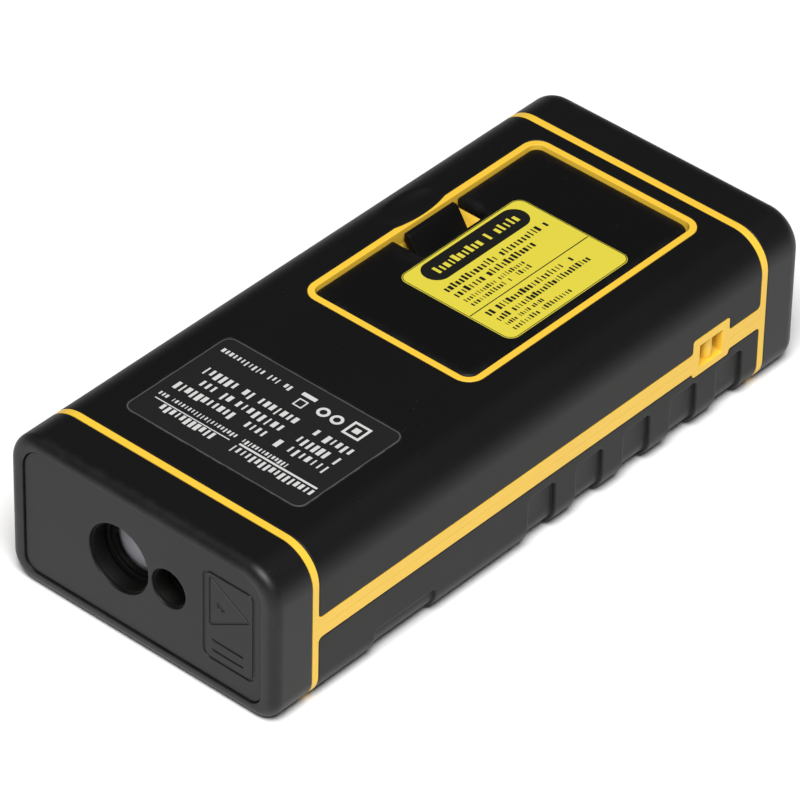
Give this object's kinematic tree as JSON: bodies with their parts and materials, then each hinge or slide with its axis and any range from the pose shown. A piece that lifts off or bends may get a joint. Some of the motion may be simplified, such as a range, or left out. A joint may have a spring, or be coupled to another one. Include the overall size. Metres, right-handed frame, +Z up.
{
  "type": "laser distance meter",
  "caption": "Pocket laser rangefinder lying on its display side: two-shell case with rubber skins, nose optics, hinged battery door with sprung latch, and a membrane keypad.",
  "frame": {"origin": "bottom centre of the outer body, on the plane it rests on with its display side down", "axes": "+X across the width towards the side with the lanyard recess, +Y from the nose with the optics to the tail, +Z up out of the back cover"},
  "size_m": [0.054, 0.1212, 0.0281],
  "materials": {
    "yellow_plastic": "satin yellow ABS, moulded",
    "black_rubber": "satin black elastomer with fine grain",
    "black_plastic": "satin black ABS",
    "key_rubber": "matt dark grey silicone",
    "window_acrylic": "clear window over a dark border",
    "lcd": "grey-green display glass",
    "light_guide": "milky light guide",
    "zebra_strip": "soft layered contact strip",
    "lens_glass": "coated optical glass",
    "circuit_board": "green solder mask",
    "steel": "nickel plated steel",
    "ferrite": "black ferrite",
    "gold_plated": "gold plated can",
    "brass": "turned brass",
    "cell_jacket": "printed film over a steel can, no marks",
    "dark_label": "black film label",
    "yellow_label": "light yellow film label",
    "screw_steel": "zinc plated steel"
  },
  "bodies": {
    "housing": {"rear_shell": "yellow_plastic", "front_shell": "yellow_plastic", "back_overmould": "black_rubber", "right_grip": "black_rubber", "left_grip": "black_rubber", "nose_bumper": "black_rubber", "tail_bumper": "black_rubber", "nose_panel": "black_plastic", "front_fascia": "black_plastic", "display_window": "window_acrylic", "lcd_glass": "lcd", "lcd_backlight": "light_guide", "lcd_connector": "zebra_strip", "keypad_mat": "key_rubber", "dome_sheet": "steel", "main_board": "circuit_board", "processor_chip": "black_plastic", "power_chip": "black_plastic", "oscillator_can": "steel", "power_coil": "ferrite", "buzzer": "black_plastic", "optical_bench": "black_plastic", "receiver_lens": "lens_glass", "lens_ring": "black_plastic", "laser_barrel": "brass", "collimator_lens": "lens_glass", "laser_diode": "gold_plated", "receiver_board": "circuit_board", "photodiode": "gold_plated", "shield_can": "steel", "battery_cell_a": "cell_jacket", "battery_cell_b": "cell_jacket", "contact_bridge": "steel", "contact_positive": "steel", "contact_negative": "steel", "spring_bridge": "steel", "spring_negative": "steel", "spec_label": "dark_label", "case_screw_nose_left": "screw_steel", "case_screw_nose_right": "screw_steel", "case_screw_tail_left": "screw_steel", "case_screw_tail_right": "screw_steel", "board_screw_left": "screw_steel", "board_screw_right": "screw_steel", "bench_screw_left": "screw_steel", "bench_screw_right": "screw_steel"},
    "door": {"battery_door": "black_plastic", "caution_label": "yellow_label"},
    "latch": {"door_latch": "black_plastic"},
    "key_plus_body": {"key_plus": "key_rubber"},
    "key_measure_body": {"key_measure": "key_rubber"},
    "key_minus_body": {"key_minus": "key_rubber"},
    "key_area_body": {"key_area": "key_rubber"},
    "key_function_body": {"key_function": "key_rubber"},
    "key_reference_body": {"key_reference": "key_rubber"},
    "key_unit_body": {"key_unit": "key_rubber"},
    "key_memory_body": {"key_memory": "key_rubber"},
    "key_power_body": {"key_power": "key_rubber"}
  },
  "joints": [
    {"name": "door_hinge", "type": "hinge", "parent": "housing", "child": "door", "pos_m": [0.01603, 0, 0.0276], "axis": [0, 1, 0], "range_deg": [0, 75]},
    {"name": "latch_flex", "type": "hinge", "parent": "door", "child": "latch", "pos_m": [-0.0115, 0.0205, 0.02335], "axis": [0, 1, 0], "range_deg": [0, 8], "stiffness_Nm_per_rad": 0.05},
    {"name": "key_plus_press", "type": "slide", "parent": "housing", "child": "key_plus_body", "axis": [0, 0, 1], "range_m": [0, 0.0006], "stiffness_N_per_m": 800},
    {"name": "key_measure_press", "type": "slide", "parent": "housing", "child": "key_measure_body", "axis": [0, 0, 1], "range_m": [0, 0.0006], "stiffness_N_per_m": 800},
    {"name": "key_minus_press", "type": "slide", "parent": "housing", "child": "key_minus_body", "axis": [0, 0, 1], "range_m": [0, 0.0006], "stiffness_N_per_m": 800},
    {"name": "key_area_press", "type": "slide", "parent": "housing", "child": "key_area_body", "axis": [0, 0, 1], "range_m": [0, 0.0006], "stiffness_N_per_m": 800},
    {"name": "key_function_press", "type": "slide", "parent": "housing", "child": "key_function_body", "axis": [0, 0, 1], "range_m": [0, 0.0006], "stiffness_N_per_m": 800},
    {"name": "key_reference_press", "type": "slide", "parent": "housing", "child": "key_reference_body", "axis": [0, 0, 1], "range_m": [0, 0.0006], "stiffness_N_per_m": 800},
    {"name": "key_unit_press", "type": "slide", "parent": "housing", "child": "key_unit_body", "axis": [0, 0, 1], "range_m": [0, 0.0006], "stiffness_N_per_m": 800},
    {"name": "key_memory_press", "type": "slide", "parent": "housing", "child": "key_memory_body", "axis": [0, 0, 1], "range_m": [0, 0.0006], "stiffness_N_per_m": 800},
    {"name": "key_power_press", "type": "slide", "parent": "housing", "child": "key_power_body", "axis": [0, 0, 1], "range_m": [0, 0.0006], "stiffness_N_per_m": 800}
  ]
}
